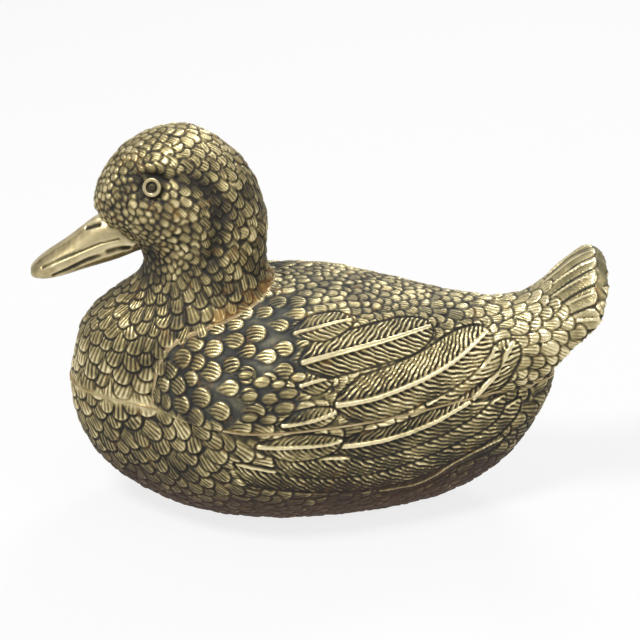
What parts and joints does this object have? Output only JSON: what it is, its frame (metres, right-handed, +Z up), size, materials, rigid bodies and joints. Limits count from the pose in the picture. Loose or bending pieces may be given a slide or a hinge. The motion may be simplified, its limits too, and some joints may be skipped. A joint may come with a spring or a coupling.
{
  "type": "duck figurine",
  "caption": "Hollow cast brass duck figurine at rest, head turned ahead, with a bill, ring eyes, a cupped tail fan and brazed seams.",
  "frame": {"origin": "middle of the flat patch under the belly, on the surface that the duck rests on", "axes": "+X from the bill to the tail, +Y to the duck's right side, +Z up"},
  "size_m": [0.2948, 0.1402, 0.2075],
  "materials": {
    "antique_brass": "cast and hand-chased, dark patina rubbed back on the high feathers",
    "polished_brass": "filed smooth and lightly polished",
    "braze_filler": "brazed, filed flush"
  },
  "bodies": {
    "root": {"belly_shell": "antique_brass", "back_shell": "antique_brass", "head_and_breast_shell": "antique_brass", "bill": "polished_brass", "left_eye": "polished_brass", "right_eye": "polished_brass", "body_seam_braze": "braze_filler", "neck_seam_braze": "braze_filler"}
  },
  "joints": []
}
